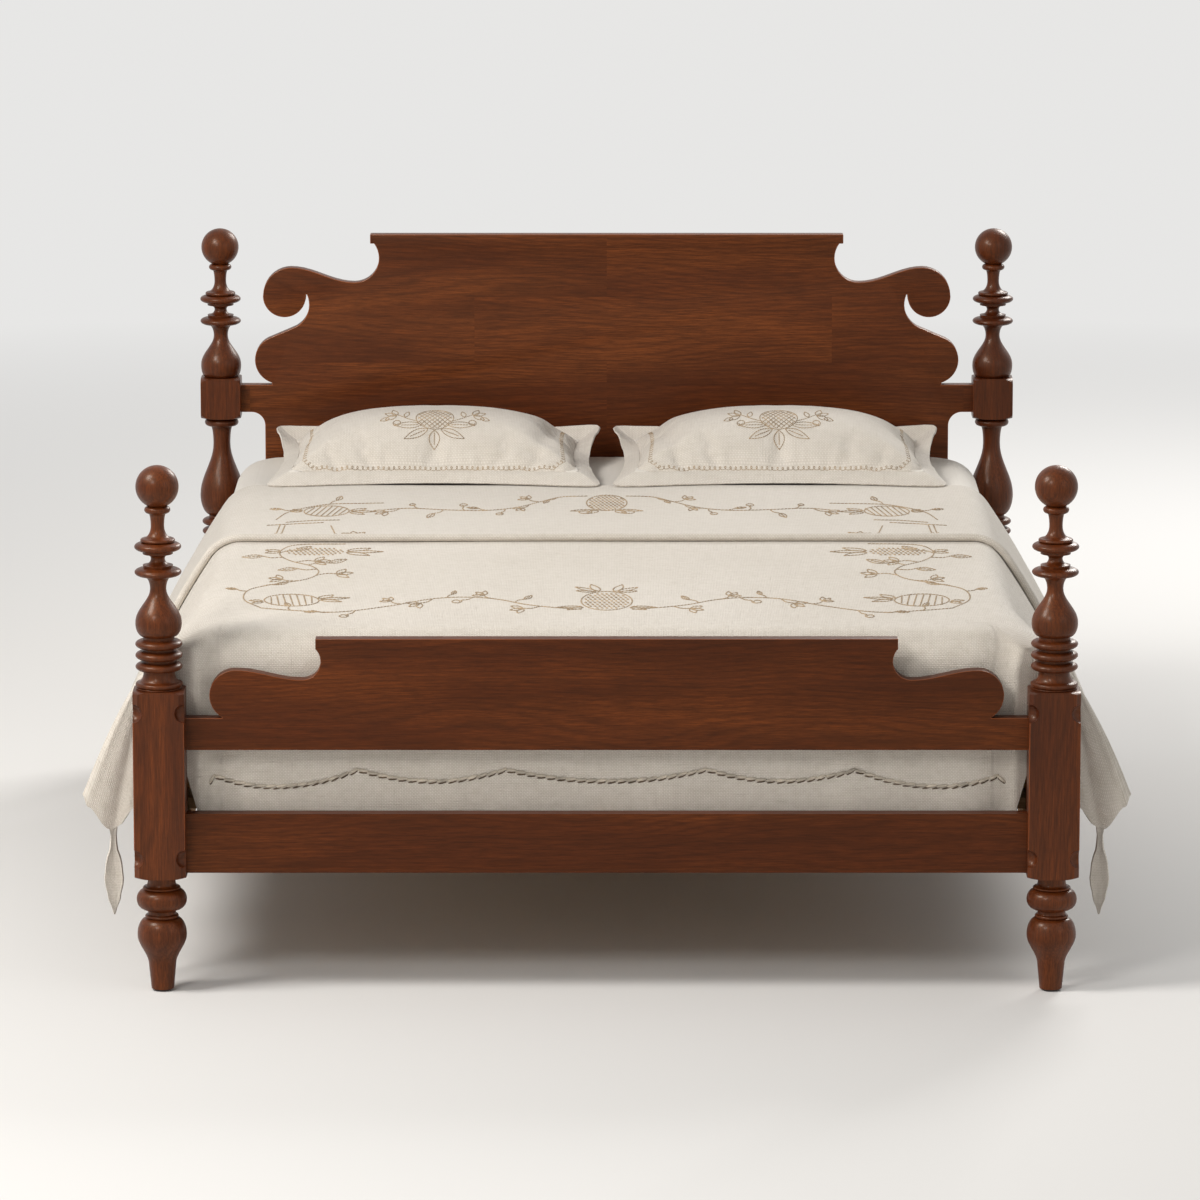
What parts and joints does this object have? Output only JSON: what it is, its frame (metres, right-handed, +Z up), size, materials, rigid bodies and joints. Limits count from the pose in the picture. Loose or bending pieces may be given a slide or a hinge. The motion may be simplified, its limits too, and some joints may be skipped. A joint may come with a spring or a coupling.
{
  "type": "turned post bed",
  "caption": "Wooden bed with turned posts, scrolled headboard and footboard, lift-out ball finials, slatted base, and a mattress dressed with embroidered coverlet and pillow shams.",
  "frame": {"origin": "on the floor under the middle of the bed", "axes": "+Z up, +Y towards the headboard, +X towards the right side of the bed seen from its foot"},
  "size_m": [1.8902, 2.192, 1.1065],
  "materials": {
    "post_wood": "satin cherry, grain along the post",
    "headboard_wood": "satin cherry, grain across the bed",
    "footboard_wood": "satin cherry, grain across the bed",
    "rail_wood": "satin cherry, grain along the rail",
    "base_wood": "planed poplar, unfinished",
    "fitting_steel": "zinc plated",
    "screw_steel": "zinc plated",
    "glide_nylon": "matt",
    "mattress_ticking": "woven ticking",
    "sheet_cotton": "plain cotton",
    "coverlet_linen": "slub linen with brown embroidery",
    "band_linen": "slub linen with brown embroidery",
    "sham_linen": "slub linen with brown embroidery",
    "pillow_cotton": "downproof cotton"
  },
  "bodies": {
    "root": {"head_post_left": "post_wood", "head_post_right": "post_wood", "foot_post_left": "post_wood", "foot_post_right": "post_wood", "headboard": "headboard_wood", "head_rail": "headboard_wood", "footboard": "footboard_wood", "foot_rail": "footboard_wood", "side_rail_left": "rail_wood", "slat_ledge_left": "base_wood", "side_rail_right": "rail_wood", "slat_ledge_right": "base_wood", "centre_beam": "base_wood", "centre_leg": "base_wood", "slat_01": "base_wood", "slat_02": "base_wood", "slat_03": "base_wood", "slat_04": "base_wood", "slat_05": "base_wood", "slat_06": "base_wood", "slat_07": "base_wood", "slat_08": "base_wood", "slat_09": "base_wood", "slat_10": "base_wood", "slat_11": "base_wood", "slat_12": "base_wood", "slat_13": "base_wood", "centre_leg_bolt": "fitting_steel", "beam_hanger_head": "fitting_steel", "beam_hanger_foot": "fitting_steel", "rail_hook_head_left": "fitting_steel", "post_plate_head_left": "fitting_steel", "glide_head_left": "glide_nylon", "rail_hook_head_right": "fitting_steel", "post_plate_head_right": "fitting_steel", "glide_head_right": "glide_nylon", "rail_hook_foot_left": "fitting_steel", "post_plate_foot_left": "fitting_steel", "glide_foot_left": "glide_nylon", "rail_hook_foot_right": "fitting_steel", "post_plate_foot_right": "fitting_steel", "glide_foot_right": "glide_nylon", "centre_leg_glide": "glide_nylon", "plate_screws": "screw_steel", "ledge_screws": "screw_steel", "slat_screws": "screw_steel", "hanger_screws": "screw_steel"},
    "bedding": {"mattress": "mattress_ticking", "fitted_sheet": "sheet_cotton", "coverlet": "coverlet_linen", "top_sheet": "band_linen"},
    "pillow_set_left": {"pillow_left": "pillow_cotton", "sham_left": "sham_linen"},
    "pillow_set_right": {"pillow_right": "pillow_cotton", "sham_right": "sham_linen"},
    "finial_head_left": {"head_finial_left": "post_wood"},
    "finial_head_right": {"head_finial_right": "post_wood"},
    "finial_foot_left": {"foot_finial_left": "post_wood"},
    "finial_foot_right": {"foot_finial_right": "post_wood"}
  },
  "joints": [
    {"name": "bedding_lift", "type": "slide", "parent": "root", "child": "bedding", "axis": [0, 0, 1], "range_m": [0, 0.3]},
    {"name": "pillow_lift_left", "type": "slide", "parent": "bedding", "child": "pillow_set_left", "axis": [0, 0, 1], "range_m": [0, 0.2]},
    {"name": "pillow_lift_right", "type": "slide", "parent": "bedding", "child": "pillow_set_right", "axis": [0, 0, 1], "range_m": [0, 0.2]},
    {"name": "finial_lift_head_left", "type": "slide", "parent": "root", "child": "finial_head_left", "axis": [0, 0, 1], "range_m": [0, 0.045]},
    {"name": "finial_lift_head_right", "type": "slide", "parent": "root", "child": "finial_head_right", "axis": [0, 0, 1], "range_m": [0, 0.045]},
    {"name": "finial_lift_foot_left", "type": "slide", "parent": "root", "child": "finial_foot_left", "axis": [0, 0, 1], "range_m": [0, 0.045]},
    {"name": "finial_lift_foot_right", "type": "slide", "parent": "root", "child": "finial_foot_right", "axis": [0, 0, 1], "range_m": [0, 0.045]}
  ]
}
